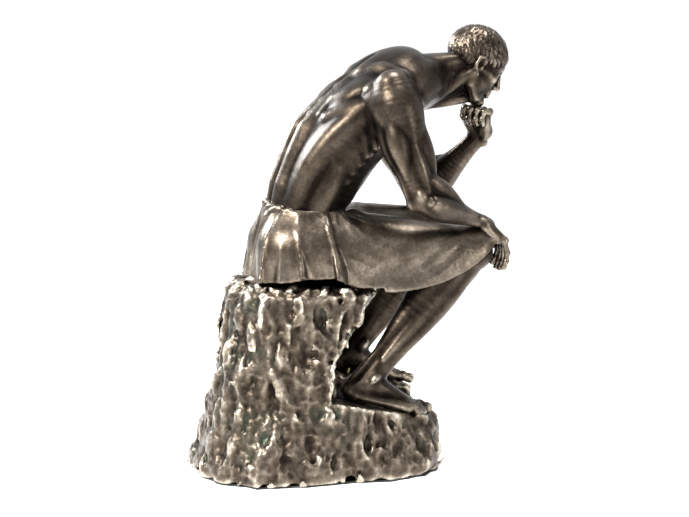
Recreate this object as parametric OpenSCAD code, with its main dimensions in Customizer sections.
// A seated thinking figure in cast bronze, with a cloth over hips and thighs, on a hollow rough rock.
// Millimetres. +Z is up, the figure faces +X, and its left side is towards +Y.
// The bronze is cast in sections that meet in sleeve joints, each locked with dowels.

/* [Rock] */
// Height of the seat above the table
seat_h = 160; // [152:1:168]
// Height of the ledge where it meets the riser behind the heels
ledge_h = 68; // [62:1:72]
// Forward dip of the ledge, in degrees
ledge_dip = 13; // [10:1:15]
// Height of the stone under the far foot, above the ledge
step_h = 11; // [8:1:15]
// Reach of the rock's foot behind the origin
rock_back = 98; // [92:1:106]
// Reach of the rock's foot in front of the origin
rock_front = 110; // [107:1:116]
// Half the breadth of the rock's foot
rock_half = 72; // [69:1:78]
// Reach of the seat behind the origin
seat_back = 64; // [60:1:70]
// Reach of the seat in front of the origin
seat_front = 48; // [42:1:52]
// Half the breadth of the seat
seat_half = 57; // [53:1:62]
// Reach in front of the origin of the hollow behind the heels
heel_front = 12; // [8:1:14]
// Depth of the chisel waves on the rock
rock_rough = 2.6; // [0.5:0.1:3.2]
// Wall of the rock casting
rock_wall = 5; // [4:0.5:7]

/* [Figure] */
// Hip joints behind the origin
hip_back = 2; // [-2:1:6]
// Height of the hip joints above the seat
hip_rise = 29; // [27:1:31]
// Distance of each hip joint from the middle
hip_half = 20; // [18:1:22]
// Length of the thigh from hip to knee
thigh_l = 132; // [127:1:138]
// Distance of each knee from the middle
knee_half = 38; // [35:1:41]
// Length of the trunk from hips to nape
trunk_l = 160; // [155:1:166]
// Lean of the trunk from upright, in degrees
lean = 35; // [32:1:38]
// Distance of each shoulder joint from the middle
shoulder_half = 55; // [52:1:58]
// Length of the neck from nape to the middle of the head
neck_l = 60; // [57:1:63]
// Lean of the neck from upright, in degrees
neck_lean = 74; // [70:1:78]
// Height of the head from chin to crown
head_h = 61; // [57:1:64]
// Bow of the head below level, in degrees
bow = 30; // [26:1:34]
// Height of the ankle above the sole
ankle_h = 20; // [18:1:22]
// Length of the foot
foot_l = 68; // [64:1:72]
// Length of the hand
hand_l = 52; // [48:1:55]

/* [Castings] */
// Gap left all round a sleeve joint
joint_gap = 0.3; // [0.2:0.05:0.4]
// Depth of the waist sleeve inside the drapery
waist_sleeve = 16; // [12:1:20]
// Wall of the hollow trunk
trunk_wall = 7; // [6:0.5:9]
// Wall of the hollow hips
hip_wall = 9; // [7:0.5:11]
// Thickness of the cloth over the thighs
cloth_t = 3; // [2:0.5:4]
// Fall of the hem below the knees
hem_drop = 20; // [14:1:26]
// Depth of the folds at the hem
fold_d = 2.5; // [1:0.5:3.5]

/* [Fixings] */
// Diameter of the two seat studs
stud_d = 8; // [6:1:10]
// Distance between the seat studs
stud_pitch = 36; // [30:1:40]
// Depth of each stud in the hips
stud_grip = 15; // [10:1:18]
// Thickness of the seat washers
washer_t = 1.6; // [1:0.2:2.4]
// Height of the seat nuts
nut_h = 6.5; // [4:0.5:8]
// Diameter of the dowels in neck, shoulders and knees
dowel_d = 5; // [4:0.5:6]
// Length of each of those dowels
dowel_l = 20; // [16:1:24]
// Diameter of the small pins in waist, feet, palm, elbow and chin
pin_d = 3; // [2:0.5:4]
// Length of each of those pins
pin_l = 13; // [11:1:15]
// Running gap of every stud, dowel and pin
pin_gap = 0.1; // [0.05:0.05:0.2]
// Diameter of the plugs that close the core holes
plug_d = 8; // [6:1:10]

/* [Underside] */
// Thickness of the felt
felt_t = 1.5; // [1:0.5:3]
// Inset of the felt from the rock's edge
felt_inset = 2; // [1:0.5:3]
// Width of the plinth bar
bar_w = 22; // [18:1:28]
// Thickness of the plinth bar
bar_t = 6; // [5:0.5:9]
// Height of the plinth bar above the rock's rim
bar_rise = 6; // [4:1:12]
// Distance between the tapped holes in the bar
tap_pitch = 60; // [50:1:70]
// Diameter of the tapped holes
tap_d = 5; // [4:0.5:6.5]

/* [Hidden] */

bronze = [0.36, 0.32, 0.27];
brass = [0.70, 0.58, 0.34];
steel = [0.62, 0.63, 0.65];
felt = [0.12, 0.12, 0.12];

// Longer than the whole model: the size of the blocks that cut it
far = 4 * seat_h;

function unit(v) = v / norm(v);
function mix(a, b, t) = a + (b - a) * t;
function flat_dir(a) = [cos(a), sin(a), 0];
// The part of v that is square to the direction w, made one long
function square_to(v, w) = unit(v - (v * w) * w);

// ---------------------------------------------------------------- landmarks
side = [0, 1, 0];
hip_z = seat_h + hip_rise;
hips = [-hip_back, 0, hip_z];
// Height of the cloth's edge round the waist
waist_z = hip_z + 28;
nape = hips + trunk_l * [sin(lean), 0, cos(lean)];
skull = nape + neck_l * [sin(neck_lean), 0, cos(neck_lean)];
hip_r = hips - [0, hip_half, 0];
hip_l = hips + [0, hip_half, 0];
thigh_r0 = 25;
knee_rad = 17;
elbow_rad = 9.5;
knee_r = [thigh_l - hip_back, -knee_half, hip_z - 5];
knee_l = [thigh_l - hip_back, knee_half, hip_z + 2];

// The ledge dips forward, so soles lie on a plane that faces ledge_up
ledge_up = [sin(ledge_dip), 0, cos(ledge_dip)];
ledge_start = heel_front - 5;
function ledge_z(x) = ledge_h - tan(ledge_dip) * max(0, x - ledge_start);
sole_x = 40;
sole_r = [sole_x, -knee_half, ledge_z(sole_x)];
sole_l = [sole_x + 4, knee_half - 2, ledge_z(sole_x + 4) + step_h];
ankle_r = sole_r + ankle_h * ledge_up;
ankle_l = sole_l + ankle_h * ledge_up;

shoulder_r = nape + [-30, -shoulder_half, -4];
shoulder_l = nape + [-18, shoulder_half, -9];
elbow_r = shoulder_r + [24, -15, -83];
elbow_l = knee_l + [-18, 6, knee_rad + cloth_t + elbow_rad + 1];
wrist_r = knee_r + [8, -6, knee_rad + cloth_t + 6];

// The head's own axes: forward along the gaze, and up through the crown
head_k = head_h / 57;
gaze = [cos(bow), 0, -sin(bow)];
crown = [sin(bow), 0, cos(bow)];
function on_head(f, y, u) = skull + head_k * (f * gaze + [0, y, 0] + u * crown);
chin = on_head(17, 0, -29);
wrist_l = chin + [7, 13, -28];

// The trunk follows one bent line from hips to nape
spine_start = hips + [-8, 0, -6];
spine_bend = hips + [-8, 0, 0.6 * trunk_l];
function spine(t) = pow(1 - t, 2) * spine_start + 2 * t * (1 - t) * spine_bend + t * t * nape;
function spine_way(t) = unit(2 * (1 - t) * (spine_bend - spine_start) + 2 * t * (nape - spine_bend));
// A place on the trunk: t along the spine, f to the front, y to the left
function on_trunk(t, f, y) = let (w = spine_way(t)) spine(t) + f * [w.z, 0, -w.x] + [0, y, 0];

// ---------------------------------------------------------------- shapes
// One ring of n points: b is half the breadth along across, d half the depth
function ring(c, b, d, across, way, n) =
    let (w = square_to(across, way), u = cross(w, way))
    [for (k = [0 : n - 1]) c + b * cos(360 * k / n) * w + d * sin(360 * k / n) * u];

// A solid through rings of equal count, closed by a fan at each end
module loft(rings) {
    n = len(rings[0]);
    m = len(rings);
    polyhedron(
        points = [for (r = rings) each r],
        faces = [
            for (k = [1 : n - 2]) [0, k + 1, k],
            for (i = [0 : m - 2], k = [0 : n - 1]) [i * n + k, i * n + (k + 1) % n, (i + 1) * n + k],
            for (i = [0 : m - 2], k = [0 : n - 1])
                [i * n + (k + 1) % n, (i + 1) * n + (k + 1) % n, (i + 1) * n + k],
            for (k = [1 : n - 2]) [(m - 1) * n, (m - 1) * n + k, (m - 1) * n + k + 1]
        ]);
}

// A limb from a to b. Each station is [share of the way, half breadth, half depth, shift to the back]
module limb(a, b, stations, across, g = 0, n = 14) {
    way = unit(b - a);
    deep = cross(square_to(across, way), way);
    loft([for (s = stations) ring(mix(a, b, s[0]) + s[3] * deep, s[1] + g, s[2] + g, across, way, n)]);
}

// Two balls and the skin stretched between them
module link(a, ra, b, rb, g = 0, n = 10) {
    hull() {
        translate(a) sphere(r = ra + g, $fn = n);
        translate(b) sphere(r = rb + g, $fn = n);
    }
}

// A finger: its joints bend towards the palm by the running sum of curls
module finger(base, out, back, lengths, curls, r, g) {
    a1 = curls[0];
    a2 = a1 + curls[1];
    a3 = a2 + curls[2];
    p1 = base + lengths[0] * (out * cos(a1) - back * sin(a1));
    p2 = p1 + lengths[1] * (out * cos(a2) - back * sin(a2));
    p3 = p2 + lengths[2] * (out * cos(a3) - back * sin(a3));
    link(base, r, p1, r * 0.96, g, 8);
    link(p1, r * 0.96, p2, r * 0.88, g, 8);
    link(p2, r * 0.88, p3, r * 0.75, g, 8);
}

// A hand from its wrist: out runs to the fingers, back is the back of the hand, thumb is the thumb's side
module hand(wrist, out, back, thumb, curls, g) {
    k = hand_l / 46;
    palm = 21 * k;
    hull() {
        translate(wrist) sphere(r = 5.5 * k + g, $fn = 8);
        translate(wrist + palm * out + 6.8 * k * thumb) sphere(r = 4 * k + g, $fn = 8);
        translate(wrist + palm * out - 6.8 * k * thumb) sphere(r = 3.6 * k + g, $fn = 8);
        translate(wrist + 6 * k * out + 5 * k * thumb) sphere(r = 4.4 * k + g, $fn = 8);
        translate(wrist + 6 * k * out - 4 * k * thumb) sphere(r = 4.2 * k + g, $fn = 8);
    }
    for (i = [0 : 3])
        finger(wrist + palm * out + (7.5 - 5 * i) * k * thumb, unit(out + (0.12 - 0.09 * i) * thumb), back,
               [11 - abs(i - 1) * 0.9, 7.5 - abs(i - 1) * 0.6, 5.5] * k, curls, 2.9 * k, g);
    knuckle = wrist + 7 * k * out + 7 * k * thumb - 1.5 * k * back;
    mid = knuckle + k * (8 * out + 5 * thumb - 3 * back);
    link(knuckle, 3.8 * k, mid, 3.2 * k, g, 8);
    link(mid, 3.2 * k, mid + k * (9 * out - 2 * thumb - 3 * back), 2.5 * k, g, 8);
}

// ---------------------------------------------------------------- rock
rim_z = felt_t;
rock_sides = 60;
// How far up the flank a height lies, eased so that the rock flares at its foot
function flank(z) = pow((z - rim_z) / (seat_h - rim_z), 0.8);
function back_at(z) = mix(rock_back, seat_back, flank(z));
function half_at(z) = mix(rock_half, seat_half, flank(z));
// A level at share t of the riser from ledge to seat
function riser(t, front, grow) =
    let (z = mix(ledge_h, seat_h, t)) [z, back_at(z), front, half_at(z) + grow, 0];
// Levels from foot to seat: [height, back reach, front reach, half breadth, 1 on the ledge's plane]
function rock_levels(w) = [
    [rim_z, back_at(rim_z), rock_front, rock_half, 0],
    [rim_z + 11, back_at(rim_z + 11) + 2, rock_front + 3, half_at(rim_z + 11) + 2, 0],
    [rim_z + 21, back_at(rim_z + 21), rock_front + 3, half_at(rim_z + 21) + 1, 0.2],
    [rim_z + 33, back_at(rim_z + 33), rock_front + 1, half_at(rim_z + 33) + 1, 0.5],
    [ledge_h - 5 - w / 2, back_at(ledge_h - 5), rock_front, half_at(ledge_h - 5), 1],
    [ledge_h - w, back_at(ledge_h), rock_front - 5, half_at(ledge_h), 1],
    [ledge_h - w, back_at(ledge_h), heel_front, half_at(ledge_h), 1],
    riser(0.15, heel_front, 0),
    riser(0.29, heel_front - 1, 0),
    riser(0.43, mix(heel_front, seat_front, 0.26), -1),
    riser(0.57, mix(heel_front, seat_front, 0.5), -1),
    riser(0.74, mix(heel_front, seat_front, 0.8), 0),
    [seat_h - 7 - w / 2, seat_back + 1, seat_front + 3, seat_half + 1, 0],
    [seat_h - w, seat_back - 5, seat_front - 3, seat_half - 4, 0]
];
// Swellings, and the sharp ribs between one chisel cut and the next, by angle round the rock and height
function rough(a, z) = rock_rough * (
    0.9 * abs(sin(2.5 * a + 1.7 * z)) + 0.5 * sin(5 * a - 3.1 * z + 40) + 0.4 * sin(9 * a + 4.3 * z)
    - 1.2 * abs(sin(7.5 * a - 1.9 * z + 35 * sin(2 * z))) - 0.7 * abs(sin(12 * a + 3.3 * z)) + 0.7);
// The rock is squarer in front than behind
function bulge(v, x) = sign(v) * pow(abs(v), x > 0 ? 0.62 : 0.8);
function rock_point(a, l, w) =
    let (e = rough(a, l[0]) - w,
         c = cos(a),
         x = bulge(c, c) * ((c > 0 ? l[2] : l[1]) + e))
    [x, bulge(sin(a), c) * (l[3] + e), l[0] - l[4] * (ledge_h - ledge_z(x))];
function rock_ring(l, w) = [for (k = [0 : rock_sides - 1]) rock_point(-360 * k / rock_sides, l, w)];
function rock_rings(w) = [for (l = rock_levels(w)) rock_ring(l, w)];

// The rock as one closed lump, w inside its true surface
module rock_lump(w) { loft(rock_rings(w)); }

// The rock as a shell open below
module rock_shell() {
    outer = rock_rings(0);
    inner = rock_rings(rock_wall);
    n = rock_sides;
    m = len(outer);
    all = concat([for (r = outer) each r], [for (r = inner) each r]);
    i0 = n * m;
    polyhedron(
        points = all,
        faces = [
            for (k = [0 : n - 1]) let (j = (k + 1) % n) each [[k, i0 + k, j], [j, i0 + k, i0 + j]],
            for (i = [0 : m - 2], k = [0 : n - 1])
                let (j = (k + 1) % n) each [
                    [i * n + k, i * n + j, (i + 1) * n + k],
                    [i * n + j, (i + 1) * n + j, (i + 1) * n + k],
                    [i0 + i * n + k, i0 + (i + 1) * n + k, i0 + i * n + j],
                    [i0 + i * n + j, i0 + (i + 1) * n + k, i0 + (i + 1) * n + j]],
            for (k = [1 : n - 2]) each [
                [(m - 1) * n, (m - 1) * n + k, (m - 1) * n + k + 1],
                [i0 + (m - 1) * n, i0 + (m - 1) * n + k + 1, i0 + (m - 1) * n + k]]
        ]);
}

// The stone that lifts the far foot, sunk into the ledge and kept inside the rock's outline
step_sides = 16;
module step_stone() {
    mid = sole_l + [0.26 * foot_l, 1, 0];
    levels = [[-rock_wall / 2, 1.14], [0.5 * step_h, 1.1], [step_h - 2.5, 1.06], [step_h, 0.98]];
    intersection() {
        loft([for (l = levels) [for (k = [0 : step_sides - 1])
            let (a = -360 * k / step_sides,
                 e = 0.5 * rock_rough * sin(3 * a + 20 * l[0]),
                 x = mid.x + (foot_l / 2 * l[1] + e) * bulge(cos(a), 1))
            [x, mid.y + (18 * l[1] + e) * bulge(sin(a), 1), ledge_z(x) + l[0]]]]);
        rock_prism(0.5);
    }
}
// A column with the ledge's outline, w inside its edge
module rock_prism(w) {
    outline = rock_ring(rock_levels(0)[4], w);
    linear_extrude(2 * seat_h) polygon([for (p = outline) [p.x, p.y]]);
}

// ---------------------------------------------------------------- figure
// Shares of the spine, with half the breadth and depth of the trunk there
trunk = [[-0.04, 31, 25, 0], [0.1, 33, 28, 1], [0.22, 34, 30, 3], [0.34, 37, 31, 3], [0.46, 41, 33, 2],
         [0.58, 46, 34, 1], [0.7, 49, 34, 0], [0.8, 50, 32, -2], [0.89, 47, 31, -6], [0.97, 38, 25, -3], [1.04, 24, 20, -3]];

module trunk_form(g = 0) {
    loft([for (s = trunk) ring(on_trunk(s[0], s[3], 0), s[1] + g, s[2] + g, side, spine_way(s[0]), 22)]);
    for (y = [-1, 1]) {
        link(on_trunk(0.68, 19, 15 * y), 12, on_trunk(0.78, 16, 35 * y), 11, g);
        link(on_trunk(0.82, -17, 26 * y), 11, on_trunk(0.6, -18, 23 * y), 10, g);
        link(on_trunk(0.64, -7, 40 * y), 11, on_trunk(0.3, -6, 25 * y), 10, g);
        link(on_trunk(0.98, 0, 12 * y), 14, mix(nape, y < 0 ? shoulder_r : shoulder_l, 0.86) + [0, 0, -5], 12, g);
    }
    link(on_trunk(0.54, 16, 0), 12, on_trunk(0.2, 12, 0), 12, g);
}

neck_root = nape + [-6, 0, 0];
module neck_form(g = 0) {
    limb(neck_root, on_head(-5, 0, -8),
         [[0, 19, 19, 0], [0.3, 18, 18.5, 0], [0.6, 16, 17, 0], [1, 15, 16, 0]], side, g, 14);
}

module head_form(g = 0) {
    k = head_k;
    neck_form(g);
    // Cranium
    hull() {
        translate(on_head(-5, 0, 8)) sphere(r = 19 * k + g, $fn = 16);
        translate(on_head(4, 0, 9)) sphere(r = 17.5 * k + g, $fn = 16);
    }
    // Face, from brow to chin
    hull() {
        for (y = [-1, 1]) {
            translate(on_head(14, 8 * y, 8)) sphere(r = 6 * k + g, $fn = 8);
            translate(on_head(11, 12 * y, -5)) sphere(r = 5.5 * k + g, $fn = 8);
            translate(on_head(1, 13 * y, -15)) sphere(r = 5 * k + g, $fn = 8);
            translate(on_head(14, 4 * y, -24)) sphere(r = 5 * k + g, $fn = 8);
        }
        translate(on_head(17, 0, -14)) sphere(r = 6 * k + g, $fn = 8);
    }
    // Brow and nose
    link(on_head(19.5, -6, 3), 2.2 * k, on_head(19.5, 6, 3), 2.2 * k, g, 8);
    hull() {
        translate(on_head(21, 0, 2)) sphere(r = 2 * k + g, $fn = 8);
        translate(on_head(25, 0, -8.5)) sphere(r = 2.4 * k + g, $fn = 8);
        translate(on_head(21.5, 3.4, -10)) sphere(r = 2 * k + g, $fn = 8);
        translate(on_head(21.5, -3.4, -10)) sphere(r = 2 * k + g, $fn = 8);
    }
    // Ears
    for (y = [-1, 1])
        link(on_head(-3, 18.5 * y, 1), 3.6 * k, on_head(-1, 17 * y, -7), 2.6 * k, g, 8);
    // Locks of hair in rows from brow to nape
    for (row = [0 : 3], y = [-3 : 3])
        let (a = 52 + row * 42, b = y * 24, r = 19.6)
        if (row < 3 || abs(y) < 3)
        link(on_head(-1 + r * cos(a) * cos(b), r * sin(b) * 0.94, 8 + r * sin(a) * cos(b)), 4.6 * k,
             on_head(-2 + r * cos(a + 24) * cos(b + 6), r * sin(b + 6) * 0.96, 8 + r * sin(a + 24) * cos(b + 6)), 4.2 * k, g, 6);
}

// Shares of the way from shoulder to elbow, and from elbow to wrist
upper_arm = [[-0.2, 8, 9, 0], [-0.1, 15, 16, 0], [0.05, 19, 20, 0], [0.22, 18.5, 19.5, 0], [0.4, 15, 17.5, 0],
             [0.56, 14, 17, -1], [0.72, 13, 15.5, 0], [0.88, 11, 12, 0], [1, 11, 10.5, 0]];
fore_arm = [[0, 11, 10.5, 0], [0.14, 13.2, 12, 0], [0.3, 13.6, 12, 0], [0.52, 11, 10, 0], [0.78, 8.4, 7, 0],
            [1, 8, 6, 0]];

hand_r_out = unit([0.75, 0.1, -0.66]);
hand_r_back = square_to([0.1, -0.1, 1], hand_r_out);
hand_l_out = unit([-0.05, -0.3, 0.95]);
hand_l_back = square_to([0.75, 0.65, 0.1], hand_l_out);

module right_arm_form(g = 0) {
    limb(shoulder_r, elbow_r, upper_arm, side, g);
    link(elbow_r, elbow_rad, elbow_r + [-3, 0, -2], elbow_rad, g);
    limb(elbow_r, wrist_r, fore_arm, side, g);
    hand(wrist_r, hand_r_out, hand_r_back, cross(hand_r_back, hand_r_out), [36, 24, 14], g);
}

module left_arm_form(g = 0) {
    limb(shoulder_l, elbow_l, upper_arm, side, g);
    link(elbow_l, elbow_rad, elbow_l + [-2, 1, -1], elbow_rad, g);
    limb(elbow_l, wrist_l, fore_arm, side, g);
    hand(wrist_l, hand_l_out, hand_l_back, cross(hand_l_out, hand_l_back), [72, 92, 50], g);
}

// Shares of the way from knee to ankle
shin = [[-0.1, 9, 9, 2], [-0.04, 14.5, 15, 2], [0.05, 17, 17.5, 1], [0.14, 16.5, 18, 0], [0.27, 18, 21.5, -3],
        [0.4, 17.5, 21.5, -4], [0.55, 14, 17.5, -3], [0.72, 10.8, 12.5, -1], [0.88, 9.4, 10.4, 0], [1, 9.6, 11, 0],
        [1.06, 9, 10, 0]];

// A shin, and a foot that stands on a sole in the ledge's plane
module leg_form(knee, ankle, sole, turn, g = 0) {
    fwd = square_to(flat_dir(turn), ledge_up);
    out = cross(ledge_up, fwd);
    k = foot_l / 66;
    up = ledge_up;
    limb(knee, ankle, shin, side, g);
    intersection() {
        union() {
            link(sole - 11 * k * fwd + 8 * up, 8.5 * k, sole + (ankle_h - 4) * up, 9.5, g);
            link(sole + (ankle_h - 3) * up, 9.5, sole + 24 * k * fwd + 9 * up, 8.5 * k, g);
            for (y = [-1, 1])
                link(sole + 4 * k * fwd + 4 * y * out + 6 * up, 6 * k, sole + 36 * k * fwd + 8 * y * out + 5 * up, 6 * k, g, 8);
            for (t = [0 : 4])
                let (b = sole + 36 * k * fwd + (t * 4.9 - 9.8) * k * out * (knee.y < 0 ? 1 : -1) + 5 * up)
                link(b, (t == 4 ? 4.5 : 3.5) * k, b + (t == 4 ? 15 : 10.5 + 0.8 * t) * k * fwd - 1.5 * up,
                     (t == 4 ? 4.1 : 3) * k, g, 8);
        }
        translate(sole) rotate([0, ledge_dip, 0]) translate([-far / 2, -far / 2, -g]) cube(far);
    }
}
module right_leg_form(g = 0) { leg_form(knee_r, ankle_r, sole_r, -7, g); }
module left_leg_form(g = 0) { leg_form(knee_l, ankle_l, sole_l, 5, g); }

// The cloth from waist to seat, which flares and breaks into folds: share t of its fall
skirt_sides = 56;
skirt_x = hips.x - 5;
function skirt_ring(t, g) = [for (k = [0 : skirt_sides - 1])
    let (a = -360 * k / skirt_sides,
         e = fold_d * t * (0.8 * cos(14 * a) + 0.5 * cos(9 * a + 70)) + g)
    [skirt_x + (mix(29, 44, pow(t, 0.7)) + e) * cos(a), (mix(35, 53, pow(t, 0.7)) + e) * sin(a), mix(waist_z, seat_h - 1, t)]];
module skirt_form(g = 0) { loft([for (t = [1, 0.75, 0.5, 0.25, 0]) skirt_ring(t, g)]); }

// Thigh under the cloth: shares of the way from hip to knee
thigh = [[-0.1, 24, 24, 0], [0, 28, 28, 0], [0.2, 27.5, 28, 0], [0.42, 25, 26.5, 0], [0.65, 21.5, 23, 0],
         [0.84, 18.5, 19.5, 0], [0.97, 17.5, 18, 0], [1.07, 14, 14.5, 0], [1.12, 8, 9, 0]];

// The hem round both knees: a ring of folds at share t of the drop, inset by w
apron_sides = 40;
function apron_ring(t, w, back) = [for (k = [0 : apron_sides - 1])
    let (a = -360 * k / apron_sides,
         c = cos(a),
         e = fold_d * t * (cos(9 * a) + 0.4 * cos(5 * a + 60)) - w,
         x = knee_r.x - 2 + (c > 0 ? knee_rad + 4 + t + e : back) * bulge(c, 1),
         y = (knee_half + knee_rad + 4 + t + e) * bulge(sin(a), 1))
    [x, y, mix(knee_r.z, knee_l.z, (y + knee_half) / (2 * knee_half)) + 8 - (hem_drop + 8) * t]];
module apron_form(g = 0) {
    loft([for (t = [1, 0.75, 0.5, 0.25, 0]) apron_ring(t, t == 0 ? 2 - g : -g, 26 + g)]);
}
module apron_hollow() { loft([for (t = [1.2, 0.8, 0.6, 0.45]) apron_ring(t, cloth_t + 1, 44)]); }

module hips_form(g = 0) {
    c = cloth_t;
    limb(hip_r, knee_r, thigh, side, g + c);
    limb(hip_l, knee_l, thigh, side, g + c);
    apron_form(g);
    skirt_form(g);
    // Hips and seat
    hull() {
        for (y = [-1, 1]) {
            translate(hips + [-8, 20 * y, -4]) sphere(r = 30 + g, $fn = 16);
            translate(hips + [8, 23 * y, -5]) sphere(r = 28 + g, $fn = 16);
        }
        for (y = [-1, 1]) translate(hips + [-8, 7 * y, 15]) sphere(r = 30 + g, $fn = 16);
    }
    // Rolled edge of the cloth at the waist
    for (k = [0 : 11])
        let (a = 30 * k, b = 30 * k + 30, w = spine(0.16))
        link(w + [27 * cos(a), 34 * sin(a), 5 * cos(a)], 5, w + [27 * cos(b), 34 * sin(b), 5 * cos(b)], 5, g, 8);
    // Cloth slung between the thighs
    hull() {
        for (s = [0.15, 0.97]) {
            translate(mix(hip_r, knee_r, s) + [0, 10, 12 - 12 * s]) sphere(r = 6 + g, $fn = 8);
            translate(mix(hip_l, knee_l, s) + [0, -10, 12 - 12 * s]) sphere(r = 6 + g, $fn = 8);
        }
    }
    // Cloth that falls beside each thigh
    for (s = [0, 1])
        let (h = s ? hip_l : hip_r, k = s ? knee_l : knee_r, o = s ? 1 : -1)
        hull() {
            translate(mix(h, k, 0.1) + [0, 25 * o, -4]) sphere(r = 6 + g, $fn = 8);
            translate(mix(h, k, 0.98) + [0, 17 * o, -2]) sphere(r = 6 + g, $fn = 8);
            translate(mix(h, k, 0.3) + [0, 27 * o, 2 - thigh_r0]) sphere(r = 5 + g, $fn = 8);
            translate(mix(h, k, 0.6) + [0, 25 * o, 1 - thigh_r0]) sphere(r = 5 + g, $fn = 8);
            translate(mix(h, k, 0.92) + [0, 19 * o, 5 - hem_drop]) sphere(r = 5 + g, $fn = 8);
        }
    // Folds that fan out from the waist, over and beside each thigh
    for (o = [-1, 1], f = [[0.16, 12, 27, 0.9, 9, 19], [0.1, 24, 20, 0.74, 22, 5], [0.06, 30, 12, 0.5, 30, -12]])
        let (h = o < 0 ? hip_r : hip_l, k = o < 0 ? knee_r : knee_l)
        link(mix(h, k, f[0]) + [0, f[1] * o, f[2]], 3.2, mix(h, k, f[3]) + [0, f[4] * o, f[5]], 2.6, g, 8);
}

// ---------------------------------------------------------------- fixings
stud_x = hips.x - 4;
function stud_at(s) = [stud_x + s * stud_pitch / 2, 0, 0];
stud_low = seat_h - rock_wall - washer_t - nut_h - 4;

// A cylinder centred at c along the direction way
module rod(c, way, d, l, n = 24) {
    a = acos(unit(way).z);
    axis = cross([0, 0, 1], way);
    translate(c) rotate(a = a, v = norm(axis) < 0.001 ? [1, 0, 0] : axis)
        cylinder(d = d, h = l, center = true, $fn = n);
}

module seat_stud_holes(d) {
    for (s = [-1, 1]) translate(stud_at(s) + [0, 0, stud_low])
        cylinder(d = d, h = seat_h + stud_grip - stud_low, $fn = 32);
}
module neck_rods(g) { rod(neck_root, skull - nape, dowel_d + 2 * g, dowel_l + 2 * g); }
module shoulder_rods(g) {
    for (p = [shoulder_r, shoulder_l])
        let (way = unit(on_trunk(0.84, 0, 0) - p))
        rod(p + 18 * way, way, dowel_d + 2 * g, dowel_l + 2 * g);
}
module knee_rods(g) {
    for (p = [[knee_r, hip_r], [knee_l, hip_l]])
        let (way = unit(p[1] - p[0]))
        rod(p[0] + (knee_rad - 2) * way, way, dowel_d + 2 * g, dowel_l + 2 * g);
}
module waist_rods(g) {
    for (a = [30, 150, 270])
        rod(spine(0.13) + [24 * cos(a), 29 * sin(a), 0], [cos(a), sin(a), 0], pin_d + 2 * g, pin_l + 2 * g);
}
module foot_rods(g) {
    for (p = [[sole_r, -7], [sole_l, 5]], x = [0, 0.38 * foot_l])
        rod(p[0] + x * square_to(flat_dir(p[1]), ledge_up), ledge_up, pin_d + 2 * g, pin_l + 2 * g);
}
module palm_rod(g) { rod(wrist_r + 13 * hand_r_out - 7 * hand_r_back, hand_r_back, pin_d + 2 * g, pin_l + 2 * g); }
module elbow_rod(g) { rod(elbow_l - [0, 0, elbow_rad + 1], [0, 0, 1], pin_d + 2 * g, pin_l + 2 * g); }
chin_way = unit(chin - wrist_l);
module chin_rod(g) { rod(chin - 7 * chin_way, chin_way, pin_d + 2 * g, pin_l + 2 * g); }

// ---------------------------------------------------------------- castings
module rock_base() {
    color(bronze) difference() {
        union() {
            rock_shell();
            step_stone();
        }
        for (s = [-1, 1]) translate(stud_at(s) + [0, 0, seat_h - 2 * rock_wall])
            cylinder(d = stud_d + 1, h = 4 * rock_wall, $fn = 32);
        foot_rods(pin_gap);
        plug_rods(pin_gap, 4 * rock_wall);
    }
}

module draped_hips() {
    color(bronze) difference() {
        intersection() {
            hips_form();
            union() {
                translate([-far / 2, -far / 2, seat_h]) cube(far);
                translate([seat_front + rock_rough * 2.1 + 1, -far / 2, 0]) cube(far);
            }
        }
        trunk_form(joint_gap);
        apron_hollow();
        right_leg_form(joint_gap);
        left_leg_form(joint_gap);
        hips_hollow();
        seat_stud_holes(stud_d + 2 * pin_gap);
        knee_rods(pin_gap);
        waist_rods(pin_gap);
        palm_rod(pin_gap);
        elbow_rod(pin_gap);
    }
}

// Hollow of the hips above the studs, and of both thighs as far as the knee dowels
module hips_hollow() {
    r = 28 - hip_wall;
    hull() for (y = [-1, 1]) translate([hips.x - 5, hip_half * y, seat_h + stud_grip + r]) sphere(r = r, $fn = 10);
    core = [for (s = thigh) if (s[0] >= 0 && s[0] < 0.7) [s[0], s[1] + cloth_t - hip_wall, s[2] + cloth_t - hip_wall, 0]];
    limb(hip_r, knee_r, core, side, 0, 10);
    limb(hip_l, knee_l, core, side, 0, 10);
}

module torso() {
    color(bronze) difference() {
        trunk_form();
        translate([-far / 2, -far / 2, waist_z - waist_sleeve - far]) cube(far);
        loft([for (s = [trunk[1], trunk[3], trunk[5], trunk[6]])
            ring(on_trunk(s[0], 0, 0), s[1] - trunk_wall, s[2] - trunk_wall, side, spine_way(s[0]), 12)]);
        neck_form(joint_gap);
        right_arm_form(joint_gap);
        left_arm_form(joint_gap);
        neck_rods(pin_gap);
        shoulder_rods(pin_gap);
        waist_rods(pin_gap);
    }
}

module head() {
    color(bronze) difference() {
        head_form();
        neck_rods(pin_gap);
        chin_rod(pin_gap);
    }
}

module right_arm() {
    color(bronze) difference() {
        right_arm_form();
        hips_form(joint_gap);
        shoulder_rods(pin_gap);
        palm_rod(pin_gap);
    }
}

module left_arm() {
    color(bronze) difference() {
        left_arm_form();
        hips_form(joint_gap);
        head_form(joint_gap);
        shoulder_rods(pin_gap);
        elbow_rod(pin_gap);
        chin_rod(pin_gap);
    }
}

module right_leg() {
    color(bronze) difference() {
        right_leg_form();
        knee_rods(pin_gap);
        foot_rods(pin_gap);
        palm_rod(pin_gap);
    }
}

module left_leg() {
    color(bronze) difference() {
        left_leg_form();
        knee_rods(pin_gap);
        foot_rods(pin_gap);
    }
}

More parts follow.
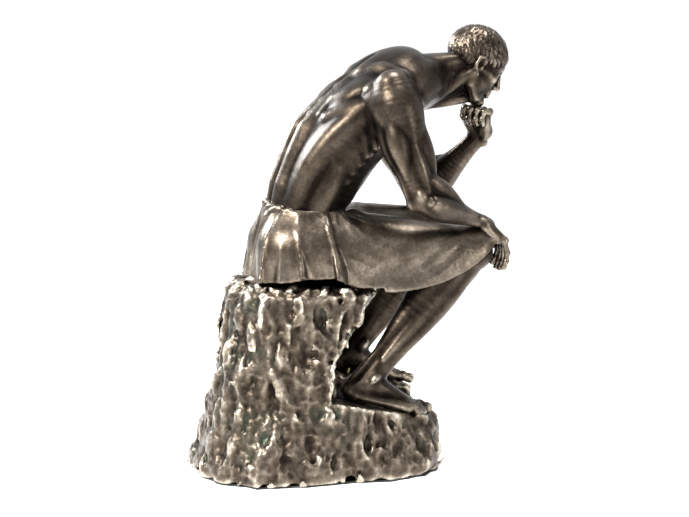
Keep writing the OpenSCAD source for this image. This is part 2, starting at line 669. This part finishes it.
module seat_studs() {
    color(steel) for (s = [-1, 1]) translate(stud_at(s) + [0, 0, stud_low])
        cylinder(d = stud_d, h = seat_h + stud_grip - stud_low - 1, $fn = 32);
}
module seat_washers() {
    color(steel) for (s = [-1, 1]) translate(stud_at(s) + [0, 0, seat_h - rock_wall - washer_t]) difference() {
        cylinder(d = 2 * stud_d, h = washer_t, $fn = 48);
        translate([0, 0, -1]) cylinder(d = stud_d + 0.4, h = washer_t + 2, $fn = 32);
    }
}
module seat_nuts() {
    color(steel) for (s = [-1, 1]) translate(stud_at(s) + [0, 0, seat_h - rock_wall - washer_t - nut_h]) difference() {
        cylinder(d = 1.85 * stud_d, h = nut_h, $fn = 6);
        translate([0, 0, -1]) cylinder(d = stud_d + 2 * pin_gap, h = nut_h + 2, $fn = 32);
    }
}

module waist_pins() { color(brass) waist_rods(0); }
module neck_dowel() { color(brass) neck_rods(0); }
module shoulder_dowels() { color(brass) shoulder_rods(0); }
module knee_dowels() { color(brass) knee_rods(0); }
module foot_pins() { color(brass) foot_rods(0); }
module palm_pin() { color(brass) palm_rod(0); }
module elbow_pin() { color(brass) elbow_rod(0); }
module chin_pin() { color(brass) chin_rod(0); }

// Bronze plugs that fill the holes left by the core pins, low on the rock's back
plug_z = ledge_h / 2;
plug_level = [plug_z, back_at(plug_z), rock_front, half_at(plug_z), 0];
module plug_rods(g, l) {
    for (a = [115, 165])
        let (p = rock_point(a, plug_level, rock_wall / 2))
        rod(p, [p.x, p.y, 0], plug_d + 2 * g, l, 32);
}
module core_plugs() { color(bronze) plug_rods(0, rock_wall + 1); }

// ---------------------------------------------------------------- underside
module plinth_bar() {
    color(steel) difference() {
        intersection() {
            translate([-bar_w / 2, -far / 2, rim_z + bar_rise]) cube([bar_w, far, bar_t]);
            rock_lump(rock_wall);
        }
        for (y = [-1, 1]) translate([0, y * tap_pitch / 2, rim_z])
            cylinder(d = tap_d, h = 4 * bar_t + bar_rise, $fn = 32);
    }
}

module felt_base() {
    foot = rock_ring(rock_levels(0)[0], felt_inset);
    color(felt) difference() {
        linear_extrude(felt_t) polygon([for (p = foot) [p.x, p.y]]);
        for (y = [-1, 1]) translate([0, y * tap_pitch / 2, -1]) cylinder(d = 2 * tap_d, h = felt_t + 2, $fn = 32);
    }
}

rock_base();
draped_hips();
torso();
head();
right_arm();
left_arm();
right_leg();
left_leg();
seat_studs();
seat_washers();
seat_nuts();
waist_pins();
neck_dowel();
shoulder_dowels();
knee_dowels();
foot_pins();
palm_pin();
elbow_pin();
chin_pin();
core_plugs();
plinth_bar();
felt_base();
